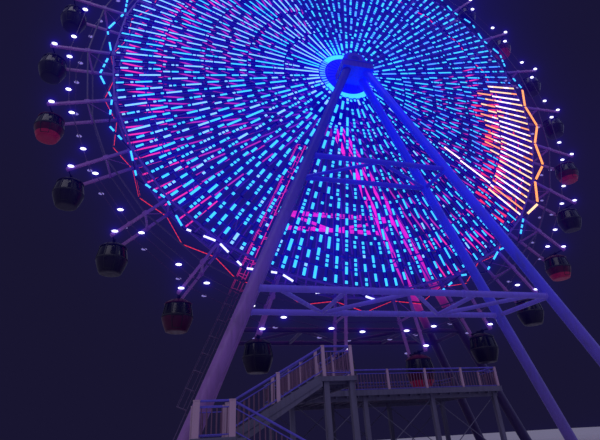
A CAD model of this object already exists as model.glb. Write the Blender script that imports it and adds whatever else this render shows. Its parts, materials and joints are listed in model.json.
# %% [markdown]
# # A ferris wheel at night, lit by its own lamps
# The object is a big wheel with twenty-six round cabins, carried by two four-legged towers over a boarding
# deck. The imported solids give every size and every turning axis. This script dresses them with finer pieces
# and finishes, and never moves them. Lengths in the cells are the real ride's, in millimetres, and one
# function turns them into the half-size model's metres.

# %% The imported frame
import json
import math
import random

import bpy
import numpy as np
from mathutils import Matrix, Vector

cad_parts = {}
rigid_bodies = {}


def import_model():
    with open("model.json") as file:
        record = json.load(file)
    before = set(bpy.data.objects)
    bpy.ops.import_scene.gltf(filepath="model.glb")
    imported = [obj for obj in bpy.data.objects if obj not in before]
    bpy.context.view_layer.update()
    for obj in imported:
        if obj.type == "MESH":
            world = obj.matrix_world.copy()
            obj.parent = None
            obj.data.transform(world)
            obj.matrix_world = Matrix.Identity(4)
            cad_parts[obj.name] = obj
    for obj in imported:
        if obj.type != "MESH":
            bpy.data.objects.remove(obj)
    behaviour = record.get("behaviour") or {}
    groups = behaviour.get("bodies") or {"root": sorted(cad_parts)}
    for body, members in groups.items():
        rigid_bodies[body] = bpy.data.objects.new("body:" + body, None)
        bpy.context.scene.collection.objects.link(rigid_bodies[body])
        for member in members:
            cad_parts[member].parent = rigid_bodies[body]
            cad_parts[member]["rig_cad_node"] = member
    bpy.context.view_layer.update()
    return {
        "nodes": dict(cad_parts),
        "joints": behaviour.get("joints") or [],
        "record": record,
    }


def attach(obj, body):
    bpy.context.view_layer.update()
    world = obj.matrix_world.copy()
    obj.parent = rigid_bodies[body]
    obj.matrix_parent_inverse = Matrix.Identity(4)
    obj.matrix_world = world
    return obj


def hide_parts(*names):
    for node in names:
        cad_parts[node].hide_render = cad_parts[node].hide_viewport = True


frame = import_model()
REAL = 0.0005                      # one real millimetre in the half-size model, in metres
spin = next(j for j in frame["joints"] if j["name"] == "wheel_spin")
HUB = Vector(spin["pos_m"])
HUB_HEIGHT = 26600

# %% [markdown]
# ## The camera
# The photograph is taken from close by and low down, so the wheel towers over the viewer and its rings turn
# into tilted ovals. The camera was worked out from the hub, the rim and the arm tips. It comes first, because
# every later cell is judged through it.

# %% The camera at the photograph's place
lens = bpy.data.cameras.new("viewer")
lens.sensor_width = 36
lens.lens = 26.09
lens.clip_end = 400
camera = bpy.data.objects.new("viewer", lens)
bpy.context.scene.collection.objects.link(camera)
turn = Matrix.Rotation(math.radians(-15.7693), 3, "Z")
tilt = Matrix.Rotation(math.radians(90 + 26.8231), 3, "X")
roll = Matrix.Rotation(math.radians(-3.4186), 3, "Z")
camera.matrix_world = Matrix.Translation((-5.505, HUB.y - 12.464, 0.8)) @ (turn @ tilt @ roll).to_4x4()
bpy.context.scene.camera = camera
print("camera", [round(v, 3) for v in camera.location], "lens", lens.lens)

# %% [markdown]
# ## Places on the ride
# Everything is set out from a few named sizes: the arms' angles, how far each side of the wheel stands from
# the middle, and the sloping line of each leg. With one function for each, a new piece lands on the old ones.

# %% Sizes and places
CABINS = 26
PITCH = 360 / CABINS
FIRST_ARM = 167.55
PIVOT_RADIUS = 20800
TIE_RADIUS = 18610
RIM_RADIUS = 17000
RIM_POINT_RADIUS = 17725
MIDDLE_RING_RADIUS = 15000
RIM_HALF_WIDTH = 1000
HUB_HALF_WIDTH = 1740
FLANGE_RADIUS = 1750
HEAD_BOTTOM = 25350
PIER_HEIGHT = 400
OUTER_FOOT, OUTER_TOP = (11427, 7281), (790, 3560)
INNER_FOOT, INNER_TOP = (11079, 1808), (770, 2730)
# The wheel and the towers have a front side, at negative y, and a rear one
FACE = {-1: "front", 1: "rear"}


def place(x, y, z):
    """A point given in real millimetres from the ground under the hub, in the model's metres."""
    return Vector((x * REAL + HUB.x, y * REAL + HUB.y, z * REAL))


def arm_angle(k):
    return FIRST_ARM + PITCH * k


def on_wheel(radius, degrees, y):
    a = math.radians(degrees)
    return place(radius * math.cos(a), y, HUB_HEIGHT + radius * math.sin(a))


def half_width(radius):
    """How far each side of the wheel stands from the middle: it leans outwards towards the hub."""
    if radius >= RIM_RADIUS:
        return RIM_HALF_WIDTH
    share = (RIM_RADIUS - radius) / (RIM_RADIUS - FLANGE_RADIUS)
    return RIM_HALF_WIDTH + (HUB_HALF_WIDTH - RIM_HALF_WIDTH) * share


def leg_at(leg, x, y, height):
    """The middle of a leg at a height; x and y are -1 or 1 for the side and the tower."""
    foot, top = (OUTER_FOOT, OUTER_TOP) if leg == "outer" else (INNER_FOOT, INNER_TOP)
    share = height / HEAD_BOTTOM
    return (x * (foot[0] + (top[0] - foot[0]) * share), y * (foot[1] + (top[1] - foot[1]) * share), height)


print("arm tips at", [tuple(round(v, 2) for v in on_wheel(PIVOT_RADIUS, arm_angle(k), 0)) for k in (0, 13)])

# %% [markdown]
# ## How a finish is made
# Each finish is a small tree of nodes. One function turns a hex colour into linear light, and one adds a node
# with its settings and its links. Patterns are scaled from real sizes in millimetres: `per_metre` says how
# many grains of a size fit into one metre of the model, which is what Object coordinates count in.

# %% Colour, nodes and pattern scale
def linear(code):
    values = [int(code[i:i + 2], 16) / 255 for i in (0, 2, 4)]
    return tuple(v / 12.92 if v <= 0.04045 else ((v + 0.055) / 1.055) ** 2.4 for v in values) + (1.0,)


def add(tree, kind, settings=None, links=None):
    """Adds a node. Settings name its own properties; links name its inputs and hold values or outputs."""
    node = tree.nodes.new(kind)
    for name, value in (settings or {}).items():
        setattr(node, name, value)
    for name, value in (links or {}).items():
        if isinstance(value, bpy.types.NodeSocket):
            tree.links.new(value, node.inputs[name])
        else:
            node.inputs[name].default_value = value
    return node


def per_metre(size_mm):
    return 1 / (size_mm * REAL)


def new_finish(name):
    """An empty finish, its tree, and the place on the piece that its patterns read."""
    finish = bpy.data.materials.new(name)
    finish.use_nodes = True
    finish.node_tree.nodes.clear()
    where = add(finish.node_tree, "ShaderNodeTexCoord").outputs["Object"]
    return finish, finish.node_tree, where


# %% The few kinds of node that every finish is made of
def noise(tree, where, size_mm, detail=2.0, rough=0.5):
    """A cloudy grain of a real size."""
    sockets = {"Vector": where, "Scale": per_metre(size_mm), "Detail": detail, "Roughness": rough}
    return add(tree, "ShaderNodeTexNoise", None, sockets).outputs[0]


def remap(tree, value, low, high, to_low=0.0, to_high=1.0):
    """Stretches the part of a pattern from low to high over another range, and cuts off the rest."""
    sockets = {0: value, 1: low, 2: high, 3: to_low, 4: to_high}
    return add(tree, "ShaderNodeMapRange", None, sockets).outputs[0]


def mixed(tree, share, first, second):
    """Two colours, mixed by a pattern that says how much of the second shows."""
    return add(tree, "ShaderNodeMix", {"data_type": "RGBA"}, {0: share, 6: first, 7: second}).outputs[2]


def maths(tree, operation, *values):
    return add(tree, "ShaderNodeMath", {"operation": operation}, dict(enumerate(values))).outputs[0]


def vector_maths(tree, operation, *values):
    return add(tree, "ShaderNodeVectorMath", {"operation": operation}, dict(enumerate(values))).outputs


def relief(tree, height, strength, depth):
    """Fine relief in the skin of a finish; depth is in the model's metres."""
    return add(tree, "ShaderNodeBump", None, {"Strength": strength, "Distance": depth,
                                              "Height": height}).outputs[0]


def surface(finish, sockets):
    """Closes a finish with its surface. Its glow only shows, and isn't searched for as a light."""
    tree = finish.node_tree
    shader = add(tree, "ShaderNodeBsdfPrincipled", None, sockets)
    add(tree, "ShaderNodeOutputMaterial", None, {"Surface": shader.outputs[0]})
    finish.cycles.emission_sampling = "NONE"
    return finish


# %% [markdown]
# ## Painted steel
# The towers, the spokes and the housings are rolled and welded steel under thick two-pack paint. The paint
# has a faint orange-peel skin, rain streaks that run down, and dirt that gathers in patches. One recipe makes
# all the paints; only the colours, the gloss, the dirt and the glow differ. Where the lamps of the wheel wash
# a part with colour, it takes over with height or with distance from the hub.

# %% Where a point lies: height, distance from the hub, distance from an arm
def height_of(tree, where):
    return add(tree, "ShaderNodeSeparateXYZ", None, {0: where}).outputs[2]


def from_hub(tree, where):
    return vector_maths(tree, "ADD", where, (-HUB.x, 0.0, -HUB.z))[0]


def distance_from_hub(tree, where):
    flat = vector_maths(tree, "MULTIPLY", from_hub(tree, where), (1, 0, 1))[0]
    return vector_maths(tree, "LENGTH", flat)["Value"]


def distance_from_arm(tree, where):
    """How far a point on the wheel is from the nearest arm, across it."""
    parts = add(tree, "ShaderNodeSeparateXYZ", None, {0: from_hub(tree, where)})
    turn = maths(tree, "ARCTAN2", parts.outputs[2], parts.outputs[0])
    arms = maths(tree, "MULTIPLY_ADD", turn, 1 / math.radians(PITCH), -FIRST_ARM / PITCH)
    reach = maths(tree, "MULTIPLY", maths(tree, "PINGPONG", arms, 0.5), distance_from_hub(tree, where))
    return maths(tree, "MULTIPLY", reach, math.radians(PITCH))


# %% Paint recipe
def colour_steps(tree, reach, shades):
    """A colour that runs through (real mm, colour) pairs, along a height or a distance."""
    low, high = shades[0][0], shades[-1][0]
    share = remap(tree, reach, low * REAL, high * REAL)
    ramp = add(tree, "ShaderNodeValToRGB", None, {0: share})
    steps = ramp.color_ramp.elements
    steps[0].color, steps[-1].color = linear(shades[0][1]), linear(shades[-1][1])
    for distance, code in shades[1:-1]:
        steps.new((distance - low) / (high - low)).color = linear(code)
    return ramp.outputs[0]


def shaded_rings(tree, where, tint):
    """Beyond the rim only the arms catch the lamps' light, and the rings between them stay dark."""
    off = remap(tree, distance_from_arm(tree, where), 130 * REAL, 190 * REAL)
    beyond = remap(tree, distance_from_hub(tree, where), 16900 * REAL, 17100 * REAL, 0.0, 0.88)
    return mixed(tree, maths(tree, "MULTIPLY", off, beyond), tint, linear("0a0830"))


def lamp_wash(tree, where, wash):
    """How strongly coloured lamps light a part: wash is (height it starts at, full height, strength)."""
    start, full, strength = wash
    return remap(tree, height_of(tree, where), start * REAL, full * REAL, 0.0, strength)


PATCH_SHIFT = 800                  # how far, in real mm, the steps of colour move where the paint is patchy


def painted_steel(name, shades, about_hub=False, rough=0.42, dirt="3a3440", dirt_share=0.35, glow=0.0,
                  wash=None, under=None):
    """Satin paint over steel. Its shades are two colours that mix in patches, or (real mm, colour) pairs that
    follow each other with height or, about_hub, with distance from the hub. The colour under is for faces
    that look down."""
    finish, tree, where = new_finish(name)
    patches = noise(tree, where, 1400, 6.0, 0.6)
    stretched = add(tree, "ShaderNodeMapping", None, {"Vector": where, "Scale": (1.0, 1.0, 0.06)})
    streaks = noise(tree, stretched.outputs[0], 160, 4.0, 0.55)
    if isinstance(shades[0], str):
        tint = mixed(tree, patches, linear(shades[0]), linear(shades[1]))
    else:
        reach = distance_from_hub(tree, where) if about_hub else height_of(tree, where)
        wavy = maths(tree, "MULTIPLY_ADD", patches, 2 * PATCH_SHIFT * REAL, reach)
        tint = colour_steps(tree, wavy, [(distance + PATCH_SHIFT, code) for distance, code in shades])
    if about_hub:
        tint = shaded_rings(tree, where, tint)
    if under:
        normal = add(tree, "ShaderNodeTexCoord").outputs["Normal"]
        tint = mixed(tree, remap(tree, height_of(tree, normal), -0.3, -0.8), tint, linear(under))
    worn = remap(tree, maths(tree, "MULTIPLY", patches, streaks), 0.22, 0.42, 0.0, dirt_share)
    colour = mixed(tree, worn, tint, linear(dirt))
    return surface(finish, {
        "Base Color": colour, "Roughness": remap(tree, streaks, 0.3, 0.7, rough - 0.07, rough + 0.14),
        "Normal": relief(tree, noise(tree, where, 28, 3.0), 0.12, 0.002), "Coat Weight": 0.06,
        "Coat Roughness": 0.25, "Specular IOR Level": 0.3, "Emission Color": colour,
        "Emission Strength": lamp_wash(tree, where, wash) if wash else glow})


# %% The paints
# Two-pack satin paint on the front tower, dulled by rain streaks: violet at the feet, and on the left a dark
# navy near the hub, for the lamps are behind it
tower_paint = painted_steel("two_pack_paint_violet", [
    (0, "6c4a88"), (6000, "704a98"), (12000, "4a348e"), (16500, "241a78"), (22000, "160e5c")],
                            rough=0.6, glow=0.16)
# The same paint on the right-hand legs, which catch the blue of the wheel from half-way up
tower_paint_blue = painted_steel("two_pack_paint_violet_in_blue_light", [
    (0, "4c3c80"), (6000, "483aa4"), (12000, "2a30d0"), (20000, "1c2ce6")], glow=0.22)
# The braces of the front tower: nearly as blue as the air behind them
brace_paint = painted_steel("two_pack_paint_on_braces", [
    (6000, "584894"), (8600, "4a3cae"), (15500, "2620ac"), (17500, "2424b4")], glow=0.3)
# The rear tower stands in the light of pink lamps, which leave only its lower third dark
tower_paint_pink = painted_steel("two_pack_paint_in_pink_light", [
    (0, "2c2250"), (8500, "40266c"), (12000, "d824a0"), (25000, "ff2aa0")], wash=(8500, 13500, 0.85))
# The same paint on the spokes: saturated blue near the hub, purple on the bare arms beyond the rim
wheel_paint = painted_steel("two_pack_paint_blue", [(15500, "1418b8"), (19500, "7a4898")], about_hub=True,
                            rough=0.4, glow=0.14)
# The hub's lit cover: deep blue enamel that glows from the ring of lamps about it
hub_paint = painted_steel("enamel_blue", ("0b18e0", "1424f4"), rough=0.34, dirt="0a1268", glow=0.32)
# The drum between the two sides, shaded by the strings in front of it
drum_paint = painted_steel("enamel_blue_in_shade", ("0a0e70", "10148c"), rough=0.4, dirt="060a3c", glow=0.08)
# Dark violet on the leg head, whose underside catches the blue of the lamps below it
head_paint = painted_steel("two_pack_paint_dark_violet", ("2a1c70", "32247e"), rough=0.45, glow=0.2,
                           under="1230f4")
# The bearing housing, as blue as the disc behind it, and the rear one in the pink light
housing_paint = painted_steel("two_pack_paint_deep_blue", ("1414b0", "1a1ac4"), rough=0.45, glow=0.3)
housing_paint_pink = painted_steel("two_pack_paint_housing_in_pink_light", ("8c1c84", "a82090"), rough=0.45,
                                   glow=0.3)
print("paints", [m.name for m in bpy.data.materials if "paint" in m.name or "enamel" in m.name])

# %% [markdown]
# ## Lamps
# The wheel carries strings of diode modules: a narrow aluminium channel with milky lenses in front, each lit
# or out. A lit lens isn't even, for its diodes show as a row of brighter dots, one every 80 mm along the
# string. The dots follow the string, so they read an attribute that holds each point's distance from the hub.
# Light comes from the shader's own emission, and the strength is set on its socket.

# %% Lamp recipe
DIODE_PITCH = 80


def lit_lens(name, core, edge, strength, dots=True):
    """A milky lens: a row of dots on a string, or a cloudy glow on a globe."""
    finish, tree, where = new_finish(name)
    if dots:
        along = add(tree, "ShaderNodeAttribute", {"attribute_name": "along"}).outputs["Fac"]
    else:
        along = noise(tree, where, 90)
    wave = maths(tree, "SINE", maths(tree, "MULTIPLY", along, 2 * math.pi * per_metre(DIODE_PITCH)))
    colour = mixed(tree, remap(tree, wave, -1.0, 0.4), linear(edge), linear(core))
    return surface(finish, {
        "Base Color": linear(edge), "Roughness": 0.35, "IOR": 1.49, "Emission Color": colour,
        "Emission Strength": strength})


# Milky acrylic lenses over diodes of each colour; one that is out still shows navy from the light about it
LENS_COLOURS = {
    "OUT": ("0c0c8c", "08086c", 0.4), "CYAN": ("4cd8ff", "28c0ff", 1.1), "ICE": ("96dcff", "64b4ff", 1.1),
    "SKY": ("54b0ff", "3a8cff", 1.1), "PINK": ("f42c80", "d42068", 1.1),
    "MAGENTA": ("c42a96", "9c1e7c", 0.95), "PURPLE": ("8428b4", "641c98", 0.75),
    "PLUM": ("3c1890", "300f74", 0.6), "RED": ("ec2c28", "c41c1c", 1.35), "AMBER": ("ffa83c", "ff8418", 1.3),
    "YELLOW": ("ffdc90", "ffb850", 1.4), "WHITE": ("fff4e2", "ffdcb4", 1.5),
    "FROST": ("f4f4ff", "c8d4ff", 1.3),
}
LENSES = [lit_lens(f"acrylic_lens_{name.lower()}", *look) for name, look in LENS_COLOURS.items()]
LENS = {name: i + 1 for i, name in enumerate(LENS_COLOURS)}         # slot numbers, after the channel's 0
# Opal glass on the globes, lit white in front and dim behind
globe_white = lit_lens("opal_globe_white", "ffffff", "dfe6ff", 1.9, dots=False)
globe_dim = lit_lens("opal_globe_dim", "a89cdc", "7468b8", 0.6, dots=False)
print("lamp finishes", len(LENSES) + 2)

# %% [markdown]
# ## Bare metal and concrete
# The lamp channels are extruded aluminium, the ladder is hot-dip galvanised steel with its large zinc
# spangle, and the piers are cast concrete with small pits. Each has its own grain size.

# %% Metal and concrete recipes
def bare_metal(name, base, rough, spangle=None, grain_mm=6, metallic=1.0, stretch=(1, 1, 1), wash=None):
    """Metal with a fine grain. spangle is the real size of zinc crystals, stretch draws the grain out."""
    finish, tree, where = new_finish(name)
    pulled = add(tree, "ShaderNodeMapping", None, {"Vector": where, "Scale": stretch})
    grain = noise(tree, pulled.outputs[0], grain_mm * 8, 5.0)
    shade = grain
    if spangle:
        cells = add(tree, "ShaderNodeTexVoronoi", None, {"Vector": where, "Scale": per_metre(spangle)})
        shade = add(tree, "ShaderNodeSeparateColor", None, {0: cells.outputs["Color"]}).outputs[0]
    colour = add(tree, "ShaderNodeVectorMath", {"operation": "SCALE"}, {
        0: linear(base)[:3], "Scale": remap(tree, shade, 0.0, 1.0, 0.82, 1.12)})
    dull = noise(tree, where, 700, 4.0)
    return surface(finish, {
        "Base Color": colour.outputs[0], "Roughness": remap(tree, dull, 0.3, 0.7, rough - 0.08, rough + 0.12),
        "Metallic": metallic, "Normal": relief(tree, grain, 0.15, 0.001), "Emission Color": linear("ff2a96"),
        "Emission Strength": lamp_wash(tree, where, wash) if wash else 0.0})


# Extruded aluminium with a drawn grain, blue-black from the lamps about it
channel_metal = bare_metal("anodised_aluminium_dark", "1a1a3c", 0.5, grain_mm=3, stretch=(1, 1, 0.1))
# Hot-dip galvanised steel: patchy zinc crystals about 30 mm across, drawn a little coarser so that they show
galvanised = bare_metal("galvanised_steel", "8f8fa6", 0.5, spangle=42)
# The same zinc on the ladder, whose upper part stands in the rear tower's pink light
galvanised_pink = bare_metal("galvanised_steel_in_pink_light", "6a5a88", 0.5, spangle=42, metallic=0.3,
                             wash=(11200, 14200, 0.7))
# Bright zinc plating on the sockets of the globes
bright_steel = bare_metal("zinc_plated_steel", "b9b7c4", 0.36, grain_mm=4)
# Weathered, nearly black steel on the cabins' yokes and rails, which hardly shows at night
dull_steel = bare_metal("weathered_steel", "2c2a36", 0.6, grain_mm=4)


def cast_concrete(name, light, dark):
    finish, tree, where = new_finish(name)
    pits = add(tree, "ShaderNodeTexVoronoi", None, {"Vector": where, "Scale": per_metre(60)})
    hole = remap(tree, pits.outputs["Distance"], 0.06, 0.18)
    rough_cast = maths(tree, "MULTIPLY_ADD", noise(tree, where, 12, 3.0), 0.3, hole)
    return surface(finish, {
        "Base Color": mixed(tree, noise(tree, where, 600, 8.0, 0.65), linear(dark), linear(light)),
        "Roughness": 0.88, "Normal": relief(tree, rough_cast, 0.5, 0.003)})


# Cast concrete piers: cloudy grey with small air pits
concrete = cast_concrete("cast_concrete", "a09da6", "6c6872")
print("metals and concrete ready")

# %% [markdown]
# ## Modelling by hand, in code
# Pieces start as primitives and are shaped in Edit Mode. Operators act on all that is selected, so each piece
# starts from an empty selection, and faces are then picked by their place or direction. Small repeated things
# are modelled once at the origin and stamped to their places as one mesh, which keeps the scene light.

# %% Picking faces and edges
def start_clean():
    if bpy.context.object and bpy.context.object.mode != "OBJECT":
        bpy.ops.object.mode_set(mode="OBJECT")
    bpy.ops.object.select_all(action="DESELECT")


def choose(piece):
    """Makes one piece the only selected one, and the active one."""
    start_clean()
    piece.select_set(True)
    bpy.context.view_layer.objects.active = piece


def edit_all(piece):
    """Enters Edit Mode with the whole piece selected."""
    choose(piece)
    bpy.ops.object.mode_set(mode="EDIT")
    bpy.ops.mesh.select_all(action="SELECT")


def pick(piece, kind, rule):
    """Enters Edit Mode with only those faces or edges selected that pass the rule."""
    bpy.ops.object.mode_set(mode="OBJECT")
    mesh = piece.data
    for group in (mesh.vertices, mesh.edges, mesh.polygons):
        group.foreach_set("select", [False] * len(group))
    for part in mesh.polygons if kind == "FACE" else mesh.edges:
        part.select = rule(part)
    bpy.ops.object.mode_set(mode="EDIT")
    bpy.ops.mesh.select_mode(type=kind)


def pick_faces(piece, rule):
    """The rule gets a face's centre and its normal."""
    pick(piece, "FACE", lambda face: rule(face.center, face.normal))


def pick_edges(piece, rule):
    """The rule gets the two ends of an edge."""
    pick(piece, "EDGE", lambda edge: rule(*(piece.data.vertices[i].co for i in edge.vertices)))


# %% Finishing, painting and joining
def settle(piece, name):
    """Leaves Edit Mode, gives the piece its name and puts its place into its mesh."""
    if bpy.context.object.mode != "OBJECT":
        bpy.ops.object.mode_set(mode="OBJECT")
    piece.name = piece.data.name = name
    bpy.ops.object.transform_apply(location=True, rotation=True, scale=True)
    return piece


def paint(piece, slot, rule=None):
    """Gives a slot to every face, or to those whose centre passes the rule."""
    for face in piece.data.polygons:
        if rule is None or rule(face.center):
            face.material_index = slot
    return piece


def merge(pieces, name, finishes=()):
    """Joins pieces into one. Finishes are given first, so that each face keeps its own material slot."""
    start_clean()
    for piece in pieces:
        for finish in finishes:
            piece.data.materials.append(finish)
        piece.select_set(True)
    bpy.context.view_layer.objects.active = pieces[0]
    bpy.ops.object.join()
    joined = bpy.context.object
    joined.name = joined.data.name = name
    return joined


def triangles(piece):
    counts = np.empty(len(piece.data.polygons), np.int32)
    piece.data.polygons.foreach_get("loop_total", counts)
    return int((counts - 2).sum())


def dress(piece, body, slot, finishes, replaces=(), angle=35):
    """Gives a finished piece its materials, its place among the bodies and its smooth shading."""
    if not piece.data.materials:
        for finish in finishes:
            piece.data.materials.append(finish)
    choose(piece)
    if angle:
        bpy.ops.object.shade_smooth_by_angle(angle=math.radians(angle))
    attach(piece, body)
    if replaces:
        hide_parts(*replaces)
    print(f"{piece.name}: {triangles(piece)} triangles")
    return piece


# %% Stamping one unit to many places
def column(group, name, width=1, kind=np.int32):
    """One value of every point, corner or face of a mesh, as an array."""
    values = np.empty(len(group) * width, kind)
    group.foreach_get(name, values)
    return values


def stamp(unit, placements, name):
    """Copies one unit to many places as a single mesh. A placement is a matrix, or a matrix and the slot that
    the unit's second material takes there. The unit itself is then taken away."""
    source = unit.data
    points = column(source.vertices, "co", 3, np.float32).reshape(-1, 3)
    corners = column(source.loops, "vertex_index")
    starts = column(source.polygons, "loop_start")
    slots = column(source.polygons, "material_index")
    smooth = column(source.polygons, "use_smooth", kind=bool)
    count = len(placements)
    pairs = [p if isinstance(p, tuple) else (p, None) for p in placements]
    grid = np.array([matrix for matrix, _ in pairs], np.float32).reshape(count, 4, 4)
    moved = np.einsum("nij,vj->nvi", grid[:, :3, :3], points) + grid[:, None, :3, 3]
    copy = np.arange(count)[:, None]
    mesh = bpy.data.meshes.new(name)
    mesh.vertices.add(count * len(points))
    mesh.vertices.foreach_set("co", moved.reshape(-1))
    mesh.loops.add(count * len(corners))
    mesh.loops.foreach_set("vertex_index", (corners + copy * len(points)).reshape(-1))
    mesh.polygons.add(count * len(starts))
    mesh.polygons.foreach_set("loop_start", (starts + copy * len(corners)).reshape(-1))
    mesh.polygons.foreach_set("use_smooth", np.tile(smooth, count))
    chosen = np.tile(slots, (count, 1))
    for i, (_, slot) in enumerate(pairs):
        if slot is not None:
            chosen[i][slots == 1] = slot
    mesh.polygons.foreach_set("material_index", chosen.reshape(-1).astype(np.int32))
    mesh.update(calc_edges=True)
    mesh.validate()
    piece = bpy.data.objects.new(name, mesh)
    bpy.context.scene.collection.objects.link(piece)
    bpy.data.objects.remove(unit)
    return piece


# %% Laying bars and turning pieces
UP = Vector((0, 0, 1))


def upright(along, across=UP):
    """A turn whose z runs along one direction and whose y leans as near as it can to another."""
    z = along.normalized()
    y = (across - z * across.dot(z)).normalized()
    return Matrix((y.cross(z), y, z)).transposed()


def set_at(spot, along, across=UP):
    """The matrix that puts a unit at a place with its z along a direction."""
    return Matrix.Translation(spot) @ upright(along, across).to_4x4()


def span(a, b, wide, deep, across=(0, 1, 0)):
    """The matrix that lays a one-metre unit, centred on its origin along z, from point a to point b. Its
    width and depth are given in real millimetres."""
    size = Matrix.Diagonal((wide * REAL, deep * REAL, (b - a).length, 1))
    return set_at((a + b) / 2, b - a, Vector(across)) @ size


def beam(a, b, wide, deep, across=(0, 1, 0)):
    """The same between two points in real millimetres from the ground under the hub."""
    return span(place(*a), place(*b), wide, deep, across)


def chain(points, wide, deep, across=(0, 1, 0)):
    """Bars laid end to end from point to point."""
    return [span(a, b, wide, deep, across) for a, b in zip(points, points[1:])]


def ray(degrees):
    """The level direction at an angle, seen from above."""
    t = math.radians(degrees)
    return Vector((math.cos(t), math.sin(t), 0))


def round_unit(sides=10):
    """A round bar, one metre long and thick."""
    start_clean()
    bpy.ops.mesh.primitive_cylinder_add(vertices=sides, radius=0.5, depth=1)
    return settle(bpy.context.object, "round_unit")


def square_unit(soft=0.06):
    """A square bar, one metre long and thick, with its four long edges softened."""
    start_clean()
    bpy.ops.mesh.primitive_cube_add(size=1)
    bar = bpy.context.object
    pick_edges(bar, lambda a, b: abs(a.z - b.z) > 0.5)
    bpy.ops.mesh.bevel(offset=soft, segments=1, affect="EDGES")
    return settle(bar, "square_unit")


print("tools ready")

# %% [markdown]
# ## The CAD nodes' own finishes
# The solids that keep their place get a finish first, so that nothing is left bare while the finer pieces are
# built on top of them. Each cabin's solid is hidden later under its dressed one, so any paint does for it.

# %% Finishes on the solids
FINISH_OF_SLOT = {
    "hub_paint": drum_paint, "wheel_paint": wheel_paint, "tower_paint": tower_paint,
    "bearing_paint": housing_paint, "red_cabin_paint": hub_paint, "dark_cabin_paint": hub_paint,
    "galvanised_steel": galvanised, "deck_steel": galvanised, "rail_paint": galvanised, "concrete": concrete,
}
slot_of_node = {s["node"]: s["material_slot"] for s in frame["record"]["subparts"]}
for name, node in frame["nodes"].items():
    node.data.materials.clear()
    node.data.materials.append(FINISH_OF_SLOT[slot_of_node[name]])
print("solids finished", len(frame["nodes"]))

# %% [markdown]
# ## The strings of lamps
# Each side of the wheel is strung with straight lamp strings in five zones. The farther out a zone lies, the
# more strings it has to each cabin's pitch, from two to six, and one of them always lies on the arm itself.
# In front a string is a row of short modules, each lit or out, so that the wheel sparkles with dashes. They
# lie deep in a channel whose walls hide part of them from the side, so level strings look thinner than
# upright ones; the amber ones sit farther out and look thicker. Behind, a string is one thin tube that shows
# all round, and a wide red one behind the amber sector. A ring of tiles closes the last stretch.

# %% One lens module, one channel and the lamps' layout
def lens_module():
    start_clean()
    bpy.ops.mesh.primitive_cube_add(size=1)
    module = bpy.context.object
    pick_faces(module, lambda c, n: n.y < -0.9)
    bpy.ops.mesh.inset(thickness=0.06, depth=0)
    bpy.ops.transform.translate(value=(0, -0.35, 0))
    return paint(settle(module, "lens_module"), 1)


def channel_unit():
    """A one-metre channel along z, one metre wide and deep, that is open towards -y."""
    start_clean()
    bpy.ops.mesh.primitive_cube_add(size=1)
    channel = bpy.context.object
    pick_faces(channel, lambda c, n: n.y < -0.9)
    bpy.ops.mesh.inset(thickness=0.03, depth=0)
    bpy.ops.transform.resize(value=(1, 1, 1.055), center_override=(0, 0, 0))
    bpy.ops.transform.translate(value=(0, 0.75, 0))
    return settle(channel, "channel")


def mark_along(piece):
    """Stores each point's distance from the hub, for the dots of the diodes."""
    points = column(piece.data.vertices, "co", 3, np.float32).reshape(-1, 3)
    along = piece.data.attributes.new("along", "FLOAT", "POINT")
    along.data.foreach_set("value", np.hypot(points[:, 0] - HUB.x, points[:, 2] - HUB.z).astype(np.float32))


# Where each zone starts and ends, its strings to a pitch, its modules to a string and how wide a module is
LAMP_ZONES = ((2270, 4930, 2, 9, 190), (4970, 7720, 3, 10, 185), (7760, 10790, 4, 10, 185),
              (10850, 13710, 5, 10, 185), (13770, 16800, 6, 10, 190))
OUTER_ZONE = LAMP_ZONES[-1][0]
RING_START, RING_END = 1790, 2250
TILES = CABINS * 2
# The strings lie on the spokes, and the one on an arm lies farther out than those between the arms
ON_ARM, BETWEEN_ARMS = 118, 60
# Groups of runs along a string, counted in modules: a lit run is positive and a dark one negative. Level
# strings are lit in longer runs than steep ones, and those at the upper left almost the whole way
STEEP_RUNS = ((1, 1, -1), (2, -1), (1, 2, -1), (1, 1, 1, -2), (2, 1, -1), (3, -1), (1, -2), (1, 1, 1, 1, -1))
LEVEL_RUNS = ((2, 2, -1), (3, -1), (4, 1, -1), (1, 2, 1, -1), (5, -1), (2, -1), (3, 3, -2), (1, 1, -1))
LONG_RUNS = ((5, 4, -1), (8, -1), (3, 6, -1), (10,), (4, -1, 4, -1), (2, 1, 5, -1))
WHITE_LINE_ARM, WHITE_LINE_START = 11, 9200


def in_amber(degrees, radius):
    """The amber sector right of the hub: the outer zone, and the last stretch of the zone within it."""
    angle = (degrees + 180) % 360 - 180
    if radius > OUTER_ZONE:
        return -40.4 < angle < 8.6
    return radius > 12350 + 20 * abs(angle + 9) and -24.5 < angle < 6.4


# %% The colour of each lens
def front_lens(dice, degrees):
    """Clear cyan below the hub, palest at the upper left and bluer on the right and at the top."""
    angle = degrees % 360
    if 115 < angle < 185:
        return dice.choice(("ICE", "ICE", "CYAN"))
    if 185 <= angle < 222:
        return dice.choice(("ICE", "CYAN", "CYAN"))
    if angle > 328 or angle < 115:
        return dice.choice(("SKY", "CYAN", "CYAN"))
    return "CYAN" if dice.random() < 0.95 else "ICE"


def amber_lens(dice, radius, pale):
    """Pale in the middle of a string, and redder towards its two ends."""
    if radius > 16200 or radius < 14000:
        return dice.choice(("YELLOW", "YELLOW", "AMBER", "WHITE"))
    return "WHITE" if dice.random() < pale else "YELLOW"


def rear_lens(degrees, radius):
    angle = degrees % 360
    if in_amber(degrees, radius):
        return "RED"
    if 25 < angle < 100:
        return "OUT"
    if 228 < angle < 292:
        return "PLUM"
    if radius > OUTER_ZONE:
        return "PINK"
    return "MAGENTA" if radius > 7740 else "PURPLE"


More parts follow.
